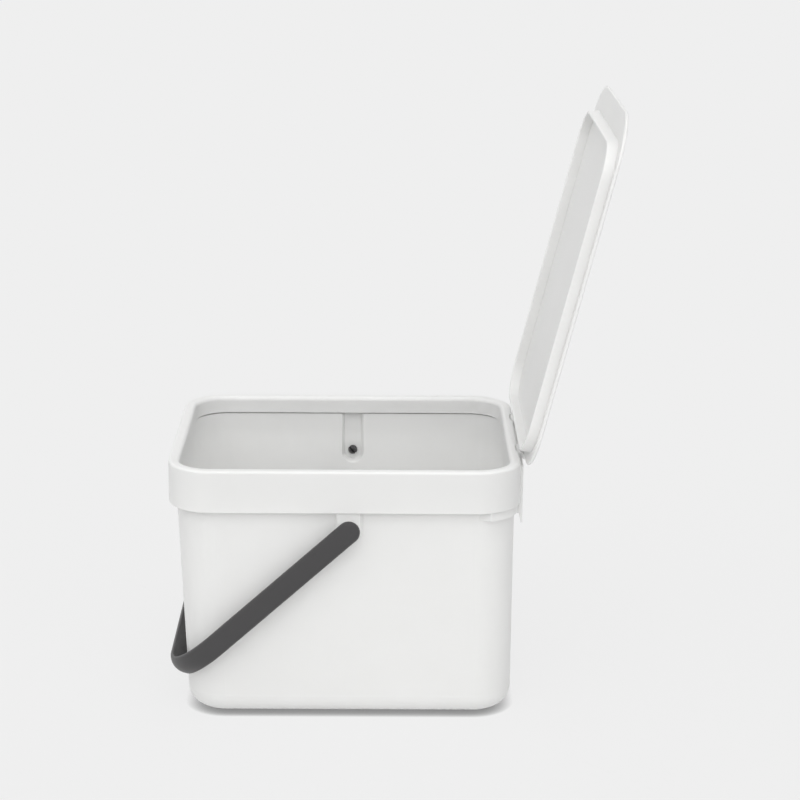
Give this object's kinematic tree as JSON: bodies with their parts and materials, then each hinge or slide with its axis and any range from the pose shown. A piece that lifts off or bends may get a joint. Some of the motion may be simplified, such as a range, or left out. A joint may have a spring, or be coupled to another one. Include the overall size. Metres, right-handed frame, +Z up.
{
  "type": "waste bin",
  "caption": "Small rectangular kitchen waste bin: tapered bucket, drop-on rim ring with a hinged flip-up lid and a rail hook, and a swinging bail handle.",
  "frame": {"origin": "on the floor plane, under the middle of the rim ring", "axes": "+Z up, -Y is the front where the handle rests, +Y the back with the lid's hinge, X along the hinge and the handle's pivots"},
  "size_m": [0.2138, 0.3196, 0.4351],
  "materials": {
    "white_moulding": "fine satin moulding texture",
    "grey_moulding": "satin"
  },
  "bodies": {
    "bucket": {"bucket": "white_moulding"},
    "ring": {"rim_ring": "white_moulding"},
    "lid": {"lid": "white_moulding"},
    "handle": {"handle": "grey_moulding"}
  },
  "joints": [
    {"name": "ring_lift", "type": "slide", "parent": "bucket", "child": "ring", "axis": [0, 0, 1], "range_m": [0, 0.04]},
    {"name": "lid_hinge", "type": "hinge", "parent": "ring", "child": "lid", "pos_m": [0, 0.1254, 0.1852], "axis": [1, 0, 0], "range_deg": [0, 104]},
    {"name": "handle_pivot", "type": "hinge", "parent": "bucket", "child": "handle", "pos_m": [0, 0.0033, 0.1445], "axis": [-1, 0, 0], "range_deg": [0, 170]}
  ]
}
